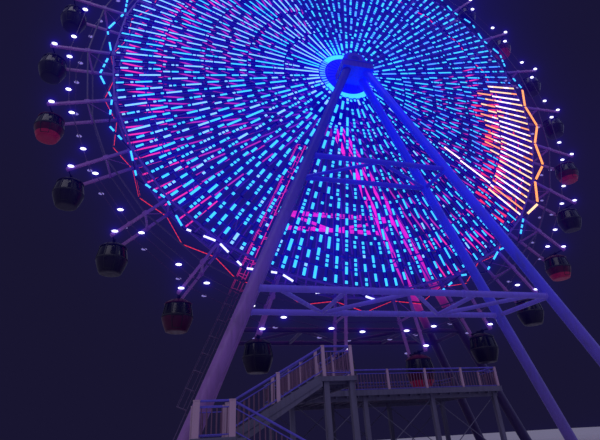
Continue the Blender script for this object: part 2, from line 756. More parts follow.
# %% The line of a string, and the runs of lit modules on it
def string_line(degrees, side, lift):
    """A function that gives the points of a string, and the direction its lenses face."""
    a = math.radians(degrees)
    tangent = Vector((-math.sin(a), 0, math.cos(a)))

    def at(radius, out):
        return on_wheel(radius, degrees, side * (half_width(radius) + lift + out))

    across = (at(16000, 0) - at(2000, 0)).cross(tangent)
    return at, across if across.y * side > 0 else -across


def zone_lines(side):
    """Every string of one side, as (zone, number, angle, place in its pitch, points, facing)."""
    for zone in LAMP_ZONES:
        strings = zone[2]
        for line in range(CABINS * strings):
            degrees = arm_angle(line / strings)
            lift = BETWEEN_ARMS if line % strings else ON_ARM
            yield (zone, line // strings, degrees, line % strings, *string_line(degrees, side, lift))


def steep(degrees):
    return abs(math.sin(math.radians(degrees))) > 0.55


def run_groups(degrees):
    if 118 < degrees % 360 < 182:
        return LONG_RUNS
    return STEEP_RUNS if steep(degrees) else LEVEL_RUNS


def lit_pattern(dice, count, groups, opening):
    """Fills a string with groups of short dashes and longer bars, as (first module, modules, lit or not)."""
    runs = opening + list(dice.choice(groups))[dice.choice((0, 1)):]
    first = 0
    while first < count:
        runs = runs or list(dice.choice(groups))
        run = runs.pop(0)
        yield first, min(abs(run), count - first), run > 0
        first += abs(run)


# %% The strings of both sides
def front_modules(dice):
    modules = []
    for (start, end, _, count, wide), arm, degrees, string, at, across in zone_lines(-1):
        step = (end - start) / count
        pale = dice.choice((0.4, 0.6, 0.85))
        groups = run_groups(degrees)
        # Above the hub's left shoulder the first modules are always lit and widen its bright ring
        opening = [3] if start < 3000 and 95 < degrees % 360 < 145 else []
        for first, size, lit in lit_pattern(dice, count, groups, opening):
            low, high = start + first * step, start + (first + size) * step
            middle = (low + high) / 2
            if arm == WHITE_LINE_ARM and string == 1 and middle > WHITE_LINE_START:
                name = "AMBER" if middle > OUTER_ZONE + 300 else "WHITE"
            elif in_amber(degrees, middle):
                name = amber_lens(dice, middle, pale)
            else:
                name = front_lens(dice, degrees) if lit else "OUT"
            warm = name in ("YELLOW", "AMBER", "WHITE")
            gap = 20 if warm or name == "OUT" else step * (0.24 if groups is LONG_RUNS else 0.36)
            out = 44 if warm else 13
            lay = span(at(low + gap / 2, out), at(high - gap / 2, out), wide, 20, -across)
            modules.append((lay, LENS[name]))
    return modules


def front_channels():
    return [span(at(start - 15, 30), at(end + 15, 30), wide + 14, 110, -across)
            for (start, end, _, _, wide), _, _, _, at, across in zone_lines(-1)]


def rear_tubes():
    tubes = []
    for (start, end, _, _, _), _, degrees, _, at, across in zone_lines(1):
        name = rear_lens(degrees, (start + end) / 2)
        wide = 210 if name == "RED" else 85
        tubes.append((span(at(start, 0), at(end, 0), wide, 50, -across), LENS[name]))
    return tubes


def hub_tiles(side):
    """Short tiles round the hub: wide ones touch above and below it, narrow ones leave gaps at its sides."""
    tiles, backs = [], []
    room = math.pi * (RING_START + RING_END) / TILES
    for n in range(TILES):
        degrees = arm_angle(n / 2)
        share = 0.96 if steep(degrees) else 0.5
        at, across = string_line(degrees, side, BETWEEN_ARMS)
        name = "PURPLE" if side > 0 else "CYAN" if steep(degrees) else "SKY"
        lay = span(at(RING_START + 8, 35), at(RING_END - 8, 35), share * room, 20, -across)
        tiles.append((lay, LENS[name]))
        backs.append(span(at(RING_START, 0), at(RING_END, 0), 60, 50, across))
    return tiles, backs


def lamp_strings(side):
    tiles, backs = hub_tiles(side)
    lenses = (front_modules(random.Random(5)) if side < 0 else rear_tubes()) + tiles
    parts = [stamp(lens_module(), lenses, "modules"), stamp(square_unit(0.1), backs, "backs")]
    if side < 0:
        parts.append(stamp(channel_unit(), front_channels(), "channels"))
    finishes = [channel_metal] + LENSES
    piece = merge(parts, f"{FACE[side]}_lamp_strings", finishes)
    mark_along(piece)
    return dress(piece, "wheel", "wheel_paint", finishes, angle=None)


for side in FACE:
    lamp_strings(side)

# %% [markdown]
# ## The zigzag rim
# A zigzag of light runs round each side of the rim, from every arm out to a point half-way to the next one.
# It is the same lens module again, laid along each straight of the zigzag. In front it is lit in dashes, cold
# white below and cyan elsewhere, and behind it is a plain red line. Round the amber sector it is amber too.

# %% Zigzag lamps
DASHES = (((0.06, 0.24), (0.44, 0.60)), ((0.10, 0.22), (0.58, 0.92)),
          ((0.30, 0.46), (0.56, 0.68), (0.80, 0.94)), ((0.08, 0.40), (0.74, 0.90)))
AMBER_STRAIGHTS = {22: ("YELLOW", 0.30, 0.97), 23: ("AMBER", 0.10, 0.97), 24: ("AMBER", 0.12, 0.90),
                   25: ("AMBER", 0.03, 0.97), 26: ("AMBER", 0.03, 0.97), 27: ("AMBER", 0.03, 0.97),
                   28: ("AMBER", 0.03, 0.93)}
ZIGZAG_OUT = RIM_HALF_WIDTH + 92


def straight_dashes(dice, side, number, degrees):
    """The lit stretches of one straight of the zigzag, as (colour, from, to) in shares of its length."""
    if side > 0:
        return [("RED", 0.03, 0.97)]
    if number in AMBER_STRAIGHTS:
        return [AMBER_STRAIGHTS[number]]
    name = "FROST" if 225 < degrees % 360 < 282 else "CYAN"
    return [(name, low, high) for low, high in dice.choice(DASHES)]


def zigzag_lamps(side):
    dice = random.Random(3)
    corners = []
    for k in range(CABINS):
        corners.append((RIM_RADIUS + 110, arm_angle(k)))
        corners.append((RIM_POINT_RADIUS, arm_angle(k + 0.5)))
    modules, backs = [], []
    outward = Vector((0, side, 0))
    lift = outward * 52 * REAL
    for i, (radius, degrees) in enumerate(corners):
        a = on_wheel(radius, degrees, side * ZIGZAG_OUT)
        b = on_wheel(*corners[(i + 1) % len(corners)], side * ZIGZAG_OUT)
        backs.append(span(a.lerp(b, 0.01), a.lerp(b, 0.99), 70, 60, outward))
        for name, low, high in straight_dashes(dice, side, i, degrees):
            wide = 165 if name in ("YELLOW", "AMBER") else 110
            lay = span(a.lerp(b, low) + lift, a.lerp(b, high) + lift, wide, 52, -outward)
            modules.append((lay, LENS[name]))
    finishes = [channel_metal] + LENSES
    lit = stamp(lens_module(), modules, "zigzag_modules")
    bars = stamp(square_unit(0.1), backs, "zigzag_backs")
    piece = merge([lit, bars], f"{FACE[side]}_zigzag_lamps", finishes)
    mark_along(piece)
    return dress(piece, "wheel", "wheel_paint", finishes, angle=None)


for side in FACE:
    zigzag_lamps(side)

# %% [markdown]
# ## Globes on the arms
# Beyond the rim each bare arm carries an opal globe at its tip, and a thin ring from arm to arm carries two
# more in every gap. A globe is a flattened sphere drawn out below into its socket. They sit on the outer side
# of each plane, because the cabins swing through the space between.

# %% Globe lamps and their ring
GLOBE_RADIUS = 130
GLOBE_SHAPE = (1.35, 0.9, 0.45)
RING_CORNER = 19690                # where the thin ring crosses an arm
RING_SOCKET, ARM_SOCKET = 1030, 1075                                # how far out the globes' sockets start


def globe_unit():
    """An opal globe of one unit's radius on a short socket that points along -z."""
    start_clean()
    bpy.ops.mesh.primitive_uv_sphere_add(segments=12, ring_count=8, radius=1)
    globe = bpy.context.object
    pick_faces(globe, lambda c, n: c.z < -0.9)
    bpy.ops.mesh.extrude_region_move(TRANSFORM_OT_translate={"value": (0, 0, -0.35)})
    bpy.ops.transform.resize(value=(1.25, 1.25, 0.2), center_override=(0, 0, -1.3))
    return paint(settle(globe, "globe"), 1, lambda c: c.z > -0.93)


def on_ring(k):
    """How far from the hub the ring passes, k pitches past the first arm: least half-way between two arms."""
    off_middle = math.radians(PITCH * (0.5 - abs(k - round(k))))
    return RING_CORNER * math.cos(math.radians(PITCH / 2)) / math.cos(off_middle)


def globes(side):
    outward = Vector((0, side, 0))
    places = []
    for k in range(CABINS):
        for near in (k - 0.2, k + 0.2):
            places.append((on_ring(near), arm_angle(near), RING_SOCKET))
        places.append((PIVOT_RADIUS - 190, arm_angle(k), ARM_SOCKET))
    flattened = Matrix.Diagonal([share * GLOBE_RADIUS * REAL for share in GLOBE_SHAPE] + [1])
    lay = []
    for radius, degrees, foot in places:
        spot = on_wheel(radius, degrees, side * (foot + GLOBE_RADIUS * 1.28))
        lay.append(Matrix.Translation(spot) @ flattened @ upright(outward).to_4x4())
    piece = stamp(globe_unit(), lay, f"{FACE[side]}_globes")
    dress(piece, "wheel", "wheel_paint", [bright_steel, globe_white if side < 0 else globe_dim], angle=50)
    corners = [on_wheel(RING_CORNER, arm_angle(k), side * RIM_HALF_WIDTH) for k in range(CABINS + 1)]
    ring = stamp(round_unit(8), chain(corners, 56, 56, outward), f"{FACE[side]}_globe_ring")
    dress(ring, "wheel", "wheel_paint", [wheel_paint])


for side in FACE:
    globes(side)

# %% [markdown]
# ## Ties between the two sides
# The two sides of the wheel are one stiff drum only because bars join them, front to rear: at the tie ring
# just inside the cabins' way, at the rim and at the middle ring. Slender crossed rods keep the rim square.
# Thin rings behind the lamps carry the ends of the strings where one zone meets the next.

# %% Cross ties, rods and support rings
SUPPORT_RINGS = (2260, 4950, 7740, 10820, 13740, 16820)
# A tie's radius, half its length and its thickness
TIES = ((TIE_RADIUS, 925, 110), (RIM_RADIUS, half_width(RIM_RADIUS) - 70, 90),
        (MIDDLE_RING_RADIUS, half_width(MIDDLE_RING_RADIUS) - 70, 70))


def wheel_ties():
    bars, rods = [], []
    for k in range(CABINS):
        here, after = arm_angle(k), arm_angle(k + 1)
        outward = on_wheel(1000, here, 0) - HUB
        for radius, w, size in TIES:
            bars.append(span(on_wheel(radius, here, -w), on_wheel(radius, here, w), size, size, outward))
        for y in (-930, 930):
            start, end = (on_wheel(RIM_RADIUS - 60, *spot) for spot in ((here, y), (after, -y)))
            rods.append(span(start, end, 34, 34))
        start, end = on_wheel(TIE_RADIUS, here, -925), on_wheel(RIM_RADIUS, here, 925)
        rods.append(span(start, end, 46, 46, (1, 0, 0)))
    for side in FACE:
        for radius in SUPPORT_RINGS:
            y = side * (half_width(radius) + 20)
            rods += chain([on_wheel(radius, arm_angle(k / 2), y) for k in range(CABINS * 2 + 1)], 36, 36)
    square = stamp(square_unit(), bars, "tie_bars")
    slim = stamp(round_unit(8), rods, "tie_rods")
    return dress(merge([square, slim], "wheel_ties", [wheel_paint]), "wheel", "wheel_paint", [wheel_paint])


wheel_ties()

# %% [markdown]
# ## Joint plates
# Where a ring crosses an arm, a bolted plate holds them together. The plate is a flat block with its corners
# cut off, and a pattern of six hexagon bolts. At every arm tip a round boss with a bolted cap closes the
# bearing of the cabin's cross axle.

# %% Plates with bolts, and bearing bosses
def bolt_unit():
    """A hexagon bolt head with a chamfered top, along z, of one unit's radius."""
    start_clean()
    bpy.ops.mesh.primitive_cylinder_add(vertices=6, radius=1, depth=0.9, location=(0, 0, 0.45))
    head = bpy.context.object
    pick_faces(head, lambda c, n: n.z > 0.9)
    bpy.ops.mesh.inset(thickness=0.16, depth=0)
    bpy.ops.transform.translate(value=(0, 0, 0.12))
    return settle(head, "bolt")


def bolts(spots, radius, turn=Matrix.Identity(4)):
    """Bolt heads of a real radius at places on a piece, given in metres."""
    size = Matrix.Scale(radius * REAL, 4)
    return stamp(bolt_unit(), [Matrix.Translation(spot) @ turn @ size for spot in spots], "heads")


def bolt_circle(count, circle, height, radius):
    step = 360 / count
    return bolts([(ray(step * i) * circle + UP * height) * REAL for i in range(count)], radius)


def plate_unit(long, wide, thick, spots):
    """A plate on the xz plane, facing -y, with its corners cut and its bolts on; sizes in real mm."""
    start_clean()
    bpy.ops.mesh.primitive_cube_add(size=1)
    plate = bpy.context.object
    plate.scale = (wide * REAL, thick * REAL, long * REAL)
    bpy.ops.object.transform_apply(scale=True)
    pick_edges(plate, lambda a, b: abs(a.y - b.y) > thick * REAL * 0.5)
    bpy.ops.mesh.bevel(offset=min(long, wide) * REAL * 0.22, segments=1, affect="EDGES")
    settle(plate, "plate")
    heads = [Vector((x, -thick / 2, z)) * REAL for x, z in spots]
    facing = Matrix.Rotation(math.radians(90), 4, "X")
    return merge([plate, bolts(heads, radius=14, turn=facing)], "plate_unit")


PLATE_SIZES = ((MIDDLE_RING_RADIUS, 0.85), (RIM_RADIUS, 1.15), (TIE_RADIUS, 0.9), (RING_CORNER, 0.6))
PLATE_OUT, BOSS_OUT = 83, 1080     # a plate lies so far outside its side of the wheel, a boss from the middle


def wheel_plates(side):
    lay = []
    for k in range(CABINS):
        a = math.radians(arm_angle(k))
        out = Vector((math.cos(a), 0, math.sin(a)))
        for radius, size in PLATE_SIZES:
            spot = on_wheel(radius, arm_angle(k), side * (half_width(radius) + PLATE_OUT))
            lay.append(set_at(spot, out, Vector((0, -side, 0))) @ Matrix.Scale(size, 4))
    six = [(x, z) for x in (-90, 90) for z in (-140, 0, 140)]
    piece = stamp(plate_unit(400, 300, 16, six), lay, f"{FACE[side]}_joint_plates")
    return dress(piece, "wheel", "wheel_paint", [wheel_paint])


def boss_unit():
    """A round bearing boss with a stepped cap, along z; sizes in real mm."""
    start_clean()
    bpy.ops.mesh.primitive_cylinder_add(vertices=20, radius=104 * REAL, depth=40 * REAL,
                                        location=(0, 0, 20 * REAL))
    boss = bpy.context.object
    pick_faces(boss, lambda c, n: n.z > 0.9)
    bpy.ops.mesh.inset(thickness=28 * REAL, depth=0)
    bpy.ops.mesh.extrude_region_move(TRANSFORM_OT_translate={"value": (0, 0, 34 * REAL)})
    bpy.ops.mesh.inset(thickness=16 * REAL, depth=0)
    bpy.ops.transform.translate(value=(0, 0, 8 * REAL))
    settle(boss, "boss")
    return merge([boss, bolt_circle(6, circle=90, height=40, radius=9)], "boss_unit")


def arm_bosses():
    lay = [set_at(on_wheel(PIVOT_RADIUS, arm_angle(k), side * BOSS_OUT), Vector((0, side, 0)))
           for side in FACE for k in range(CABINS)]
    return dress(stamp(boss_unit(), lay, "arm_bearing_bosses"), "wheel", "wheel_paint", [wheel_paint])


for side in FACE:
    wheel_plates(side)
arm_bosses()

# %% [markdown]
# ## The hub covers
# Each flange of the hub wears a shallow cone of blue enamelled panels, and it is the calm blue disc in the
# middle of all the lamps. The cone is drawn from one disc by insets that are pulled forward, and radial ribs
# and two circles of bolts show how it is fixed.

# %% Hub covers with ribs and bolts
COVER_RADIUS, COVER_OUT = 1722, HUB_HALF_WIDTH + 106
# The steps of the cone from its edge inwards, as (width of the step, rise)
COVER_STEPS = ((60, 0), (24, 26), (560, 60), (380, 50), (30, -20), (120, 0), (20, 60))


def hub_cover(side):
    start_clean()
    bpy.ops.mesh.primitive_cylinder_add(vertices=52, radius=COVER_RADIUS * REAL, depth=50 * REAL)
    cover = bpy.context.object
    pick_faces(cover, lambda c, n: n.z > 0.9)
    for inset, rise in COVER_STEPS:
        bpy.ops.mesh.inset(thickness=inset * REAL, depth=0)
        bpy.ops.transform.translate(value=(0, 0, rise * REAL))
    settle(cover, "cover")
    ribs, spots = [], []
    for k in range(CABINS):
        out = ray(arm_angle(k))
        ribs.append(span((out * 700 + UP * 158) * REAL, (out * 1640 + UP * 62) * REAL, 26, 60, UP))
        spots += [(out * 1692 + UP * 25) * REAL, (out * 560 + UP * 141) * REAL]
    parts = [cover, stamp(square_unit(), ribs, "ribs"), bolts(spots, radius=20)]
    piece = merge(parts, f"{FACE[side]}_hub_cover", [hub_paint])
    piece.data.transform(set_at(on_wheel(0, 0, side * COVER_OUT), Vector((0, side, 0))))
    return dress(piece, "wheel", "hub_paint", [hub_paint])


for side in FACE:
    hub_cover(side)

# %% [markdown]
# ## Tower legs
# Each tower stands on four raking tubes that taper a little towards the head. A tube is a tall cone cut
# level at its two ends, as a plate mill and a flame cutter would leave it. Site joints are welded and show as
# a thin bead, and on its pier each foot has fins and a circle of nuts.

# %% Tapered tubes, weld beads and feet
LEG_BASE_RADIUS, LEG_TOP_RADIUS = 320, 285
WELDS = (6100, 12200, 18900)
FINS, FIN_CIRCLE, NUT_CIRCLE = 8, 330, 455
HAIR = 0.6                         # the air between a tube and what carries it
SIDES = (("left", -1), ("right", 1))


def cut_level(piece, height, keep_above):
    """Cuts a piece level at a height, closes the cut and drops the rest."""
    edit_all(piece)
    bpy.ops.mesh.bisect(plane_co=(0, 0, height), plane_no=(0, 0, 1), use_fill=True,
                        clear_inner=keep_above, clear_outer=not keep_above)
    bpy.ops.object.mode_set(mode="OBJECT")


def weld_bead(centre, along, radius):
    """The thin raised seam where two lengths of tube are welded end to end."""
    start_clean()
    bpy.ops.mesh.primitive_torus_add(major_segments=36, minor_segments=6, major_radius=radius * REAL,
                                     minor_radius=9 * REAL)
    bead = settle(bpy.context.object, "bead")
    bead.data.transform(set_at(centre, along, Vector((0, 1, 0))))
    return bead


def foot_fins(foot):
    """Eight fins about a foot and, between them, the nuts that hold it down."""
    fins, nuts = [], []
    step = 360 / FINS
    for i in range(FINS):
        out = ray(step * (i + 0.5))
        base = foot + out * FIN_CIRCLE
        fins.append(beam(base + UP * 112 + out * 60, base + UP * 114 - out * 60, 20, 220, UP))
        nuts.append(place(*(foot + ray(step * (i + 1)) * NUT_CIRCLE + UP)))
    return [stamp(square_unit(), fins, "fins"), bolts(nuts, radius=36)]


def leg_paint(x, y):
    """The rear tower stands in pink light, and the front one's right side in the blue of the wheel."""
    if y > 0:
        return tower_paint_pink
    return tower_paint_blue if x > 0 else tower_paint


def leg_piece(leg, x, y, name):
    low, high = place(*leg_at(leg, x, y, -500)), place(*leg_at(leg, x, y, HEAD_BOTTOM + 500))
    start_clean()
    bpy.ops.mesh.primitive_cone_add(vertices=36, depth=(high - low).length, radius1=LEG_BASE_RADIUS * REAL,
                                    radius2=LEG_TOP_RADIUS * REAL)
    tube = bpy.context.object
    tube.data.transform(set_at((low + high) / 2, high - low, Vector((0, 1, 0))))
    cut_level(tube, (PIER_HEIGHT + HAIR) * REAL, True)
    cut_level(tube, (HEAD_BOTTOM - HAIR) * REAL, False)
    parts = [tube]
    for height in WELDS:
        radius = LEG_BASE_RADIUS + (LEG_TOP_RADIUS - LEG_BASE_RADIUS) * height / HEAD_BOTTOM
        parts.append(weld_bead(place(*leg_at(leg, x, y, height)), high - low, radius))
    parts += foot_fins(Vector(leg_at(leg, x, y, PIER_HEIGHT)))
    piece = merge(parts, f"{name}_tube")
    return dress(piece, "towers", "tower_paint", [leg_paint(x, y)], replaces=[name])


for y, tower in FACE.items():
    for side, x in SIDES:
        for leg in ("outer", "inner"):
            leg_piece(leg, x, y, f"leg_{tower}_{side}_{leg}")

# %% [markdown]
# ## Braces between the legs
# Two levels of round beams tie the legs of a tower: a pair of long beams across, short ones from front to
# rear, and diagonals between the long ones. Where a tube lands on a leg, a collar plate spreads the load, and
# two more collars on each long beam join its lengths.

# %% Brace tubes and their collars
LONG_BEAM, SHORT_BEAM, DIAGONAL = 165, 130, 115                     # radii
# Each level's height and its diagonals, from a share of the inner beam to a share of the outer one
UPPER_BRACE = (16510, [(-1, 0), (1, 0)])
LOWER_BRACE = (7858, [(-0.46, -0.85), (-0.46, -0.44), (-0.46, 0), (0.46, 0), (0.46, 0.44), (0.46, 0.85)])


def brace_piece(y, height, panels, name):
    o, i = Vector(leg_at("outer", 1, y, height)), Vector(leg_at("inner", 1, y, height))
    other_o, other_i = (Vector((-p.x, p.y, p.z)) for p in (o, i))
    beams = [(other_o, o, LONG_BEAM), (other_i, i, LONG_BEAM)]
    beams += [(other_o, other_i, SHORT_BEAM), (o, i, SHORT_BEAM)]
    for start, end in panels:
        beams.append((Vector((start * i.x, i.y, height)), Vector((end * o.x, o.y, height)), DIAGONAL))
    tubes = [beam(a, b, 2 * r, 2 * r) for a, b, r in beams]
    collars = []
    for a, b, r in beams[:2]:
        along = (b - a).normalized()
        for low, high in ((a + along * 318, a + along * 352), (b - along * 318, b - along * 352),
                          *((a.lerp(b, s) - along * 26, a.lerp(b, s) + along * 26) for s in (0.33, 0.67))):
            collars.append(beam(low, high, 2.5 * r, 2.5 * r))
    parts = [stamp(round_unit(24), tubes, "tubes"), stamp(round_unit(24), collars, "collars")]
    finish = tower_paint_pink if y > 0 else brace_paint
    return dress(merge(parts, f"{name}_tubes"), "towers", "tower_paint", [finish], replaces=[name])


for y, tower in FACE.items():
    brace_piece(y, *UPPER_BRACE, f"{tower}_upper_brace")
    brace_piece(y, *LOWER_BRACE, f"{tower}_lower_brace")

# %% [markdown]
# ## Heads and bearings
# A welded box gathers the four legs of a tower, and the axle's bearing housing is bolted on top. The box gets
# stiffener plates all round, and the housing gets a bolted flange ring round the axle on both its faces.

# %% Stiffeners and bearing caps
HEAD_NEAR, HEAD_FAR, HEAD_HALF_LENGTH, HEAD_TOP = 2300, 3990, 1180, 26000
HOUSING_NEAR, HOUSING_FAR = 2520, 3560
CAP_RADIUS, CAP_HOLE, CAP_THICK = 560, 312, 70


def head_ribs(y):
    ribs = []
    low, high = HEAD_BOTTOM + 30, HEAD_TOP - 30
    for face, out in ((HEAD_NEAR, -1), (HEAD_FAR, 1)):
        for x in range(-960, 961, 320):
            spot = y * (face + out * 18)
            ribs.append(beam((x, spot, low), (x, spot, high), 24, 36))
        for z in (low - 8, high + 8):
            spot = y * (face + out * 24)
            ribs.append(beam((-HEAD_HALF_LENGTH, spot, z), (HEAD_HALF_LENGTH, spot, z), 40, 48))
    for x in (-1, 1):
        for depth in range(2500, 3901, 350):
            ribs.append(beam((x * 1198, y * depth, low), (x * 1198, y * depth, high), 36, 24))
        for depth in (2640, 3040, 3440):
            start, end = ((x * reach, y * depth, HEAD_TOP + 10) for reach in (820, 1120))
            ribs.append(beam(start, end, 20, 300, UP))
    return stamp(square_unit(), ribs, "ribs")


def bearing_cap(spot, along):
    """A bolted flange ring: a thick disc, inset on both faces and bridged through."""
    start_clean()
    bpy.ops.mesh.primitive_cylinder_add(vertices=32, radius=CAP_RADIUS * REAL, depth=CAP_THICK * REAL)
    cap = bpy.context.object
    for way in (1, -1):
        pick_faces(cap, lambda c, n: n.z * way > 0.9)
        bpy.ops.mesh.inset(thickness=(CAP_RADIUS - CAP_HOLE) * REAL, depth=0)
    pick_faces(cap, lambda c, n: abs(n.z) > 0.9 and math.hypot(c.x, c.y) < 0.01)
    bpy.ops.mesh.bridge_edge_loops()
    settle(cap, "cap")
    ring = merge([cap, bolt_circle(12, circle=450, height=CAP_THICK / 2, radius=26)], "ring")
    ring.data.transform(set_at(spot, along))
    return ring


def head_trim(tower, y):
    parts = [head_ribs(y)]
    for face, out in ((HOUSING_NEAR, -1), (HOUSING_FAR, 1)):
        parts.append(bearing_cap(place(0, y * (face + out * 36), HUB_HEIGHT), Vector((0, y * out, 0))))
    head, housing = (housing_paint_pink, housing_paint_pink) if y > 0 else (head_paint, housing_paint)
    frame["nodes"][f"{tower}_leg_head"].data.materials[0] = head
    frame["nodes"][f"{tower}_bearing_housing"].data.materials[0] = housing
    return dress(merge(parts, f"{tower}_head_trim"), "towers", "bearing_paint", [head])


for y, tower in FACE.items():
    head_trim(tower, y)

# %% [markdown]
# ## The ladder
# A caged ladder climbs the rear tower's left outer leg to just below the head. It has two flat stringers, a
# round rung every 300 mm, and hoops with straps that keep a climber in. Its upper part stands in the pink
# light of the rear tower.

# %% Stringers, rungs, hoops and straps
LADDER_LOW, LADDER_HIGH, LADDER_REACH = PIER_HEIGHT + 900, HEAD_BOTTOM - 1600, 620
RUNG_STEP, HOOP_STEP, CAGE_START = 300, 1100, 2400
HOOP_SIDES, STRAP_CORNERS = 9, (1, 3, 5, 6, 8)


def by_ladder(z, reach, y):
    """A point at a height, so far out from the rear left leg and so far to the rear of its middle."""
    leg = Vector(leg_at("outer", -1, 1, z))
    return leg + Vector((-reach, y, 0))


def ladder_flats():
    flats = []
    for y in (-210, 210):
        foot, top = (by_ladder(z, LADDER_REACH, y) for z in (LADDER_LOW, LADDER_HIGH))
        flats.append(beam(foot, top, 60, 24))
    brackets = int((LADDER_HIGH - LADDER_LOW) / 1900)
    for i in range(brackets + 1):
        z = LADDER_LOW + 150 + (LADDER_HIGH - LADDER_LOW - 300) * i / brackets
        for y in (-150, 150):
            flats.append(beam(by_ladder(z, LADDER_REACH, y), by_ladder(z, 200, y * 0.8), 50, 16))
    return flats


def cage():
    """Hoops round the climber's back, and straps that run up their corners."""
    slope = (by_ladder(LADDER_HIGH, 0, 0) - by_ladder(LADDER_LOW, 0, 0)).normalized()
    outward = Vector((-1, 0, 0))
    outward = (outward - slope * outward.dot(slope)).normalized()
    flats, straps = [], {corner: [] for corner in STRAP_CORNERS}
    for z in range(LADDER_LOW + CAGE_START, LADDER_HIGH + 1, HOOP_STEP):
        ring = [by_ladder(z, LADDER_REACH, 215)]
        for corner in range(HOOP_SIDES + 1):
            t = math.pi * corner / HOOP_SIDES
            ring.append(by_ladder(z, LADDER_REACH, 350 * math.cos(t)) + outward * 700 * math.sin(t))
            if corner in straps:
                straps[corner].append(ring[-1])
        ring.append(by_ladder(z, LADDER_REACH, -215))
        flats += chain([place(*p) for p in ring], 10, 50, slope)
    return flats + [beam(line[0], line[-1], 36, 10) for line in straps.values()]


def ladder_piece():
    rungs = [beam(by_ladder(z, LADDER_REACH, -205), by_ladder(z, LADDER_REACH, 205), 34, 34, (1, 0, 0))
             for z in range(LADDER_LOW + RUNG_STEP, LADDER_HIGH - RUNG_STEP, RUNG_STEP)]
    parts = [stamp(square_unit(0.1), ladder_flats() + cage(), "flats"), stamp(round_unit(8), rungs, "rungs")]
    piece = merge(parts, "ladder_and_cage")
    return dress(piece, "towers", "galvanised_steel", [galvanised_pink], replaces=["access_ladder"])


ladder_piece()

# %% [markdown]
# ## Cabin finishes
# The cabins are moulded glass-fibre shells in a thick gel coat, some red and some dark. A gel coat is glossy
# under a clear layer, with faint waves and patches of dust. The windows are smoked acrylic.

# %% Gel coat, acrylic, rubber and seat plastic
def gel_coat(name, base, shade, glow=0.0):
    finish, tree, where = new_finish(name)
    waves = noise(tree, where, 520, 3.0)
    tint = mixed(tree, waves, linear(shade), linear(base))
    skin = maths(tree, "MULTIPLY_ADD", noise(tree, where, 24), 0.15, waves)
    return surface(finish, {
        "Base Color": tint, "Roughness": remap(tree, noise(tree, where, 210, 6.0), 0.35, 0.7, 0.3, 0.5),
        "Normal": relief(tree, skin, 0.1, 0.004), "Coat Weight": 0.06, "Coat Roughness": 0.12,
        "Specular IOR Level": 0.2, "Emission Color": tint, "Emission Strength": glow})


def smoked_acrylic(name, tone):
    finish, tree, where = new_finish(name)
    smear = noise(tree, where, 300, 5.0)
    return surface(finish, {
        "Base Color": linear(tone), "Roughness": remap(tree, smear, 0.4, 0.75, 0.1, 0.28), "IOR": 1.49,
        "Transmission Weight": 0.45, "Specular IOR Level": 0.04})


red_shell = gel_coat("gel_coat_red", "4a0a1e", "320616", glow=0.05)
maroon_shell = gel_coat("gel_coat_maroon", "4c0a2c", "2e0620", glow=0.03)
dark_shell = gel_coat("gel_coat_dark_plum", "1a0f22", "0e0818")
tub_red = gel_coat("gel_coat_bright_red", "981c40", "741034", glow=0.14)
seat_plastic = gel_coat("moulded_seat_plastic", "1c1828", "12101c")
rubber = bare_metal("rubber_trim", "121018", 0.7, grain_mm=5, metallic=0.0)
smoked = smoked_acrylic("smoked_acrylic", "0e0a18")
print("cabin finishes ready")

# %% [markdown]
# ## One cabin
# A round body is drawn level by level: a disc is extruded upwards and resized at each level, as a potter
# would raise a wall. The tub is opened at the top and given its thickness, the glass is a bare band, and
# posts, ribs and door frames are bars that follow the surface. The cabin is modelled once, hanging from its
# pin at the origin, and copied to each arm with its own mesh.

# %% Round bodies and strips that follow them
def local(x, y, z):
    """A point in real millimetres from the cabin's pin, in the model's metres."""
    return Vector((x, y, z)) * REAL


def on_level(z, radius, angles):
    """Points on the level circle of that height and radius."""
    return [(ray(degrees) * radius + UP * z) * REAL for degrees in angles]


def turned_body(levels, sides=32, open_top=False, open_bottom=False, wall=0):
    """A round body through levels of (height, radius); wall gives an open one its thickness."""
    start_clean()
    foot, radius = levels[0]
    bpy.ops.mesh.primitive_circle_add(vertices=sides, radius=radius * REAL, fill_type="NGON",
                                      location=local(0, 0, foot))
    body = bpy.context.object
    bpy.ops.object.transform_apply(location=True)
    edit_all(body)
    for (z0, r0), (z1, r1) in zip(levels, levels[1:]):
        bpy.ops.mesh.extrude_region_move(TRANSFORM_OT_translate={"value": local(0, 0, z1 - z0)})
        bpy.ops.transform.resize(value=(r1 / r0, r1 / r0, 1), center_override=local(0, 0, z1))
    bpy.ops.mesh.select_all(action="SELECT")
    bpy.ops.mesh.normals_make_consistent(inside=False)
    lids = [levels[-1][0]] * open_top + [foot] * open_bottom
    if lids:
        pick_faces(body, lambda c, n: abs(n.z) > 0.99 and math.hypot(c.x, c.y) < 1e-3
                   and any(abs(c.z - lid * REAL) < 1e-5 for lid in lids))
        bpy.ops.mesh.delete(type="FACE")
    bpy.ops.object.mode_set(mode="OBJECT")
    if wall:
        shell = body.modifiers.new("wall", "SOLIDIFY")
        shell.thickness = wall * REAL
        shell.offset = -1
        bpy.ops.object.modifier_apply(modifier="wall")
    return settle(body, "turned")


def strip(path, wide, deep, degrees, push=0):
    """Bars laid end to end along (height, radius) points at one angle of a round body."""
    out = ray(degrees)
    return chain([(out * (radius + push) + UP * z) * REAL for z, radius in path], wide, deep, out)


# %% The cabin's bodies
ROOF = [(-455, 716), (-440, 762), (-400, 764), (-385, 735), (-330, 676), (-265, 590), (-200, 474),
        (-150, 340), (-122, 190), (-112, 60)]
GLASS = [(-1092, 846), (-760, 786), (-452, 716)]
TUB = [(-1966, 420), (-1962, 520), (-1935, 588), (-1820, 640), (-1640, 714), (-1440, 784), (-1260, 836),
       (-1120, 852), (-1086, 848)]
BELT_LEVEL, LOW_TUB_LEVEL = -1135, -1600
SHELL, PANE, TRIM, METAL, SEAT, LOW_TUB = range(6)                  # the cabin's material slots


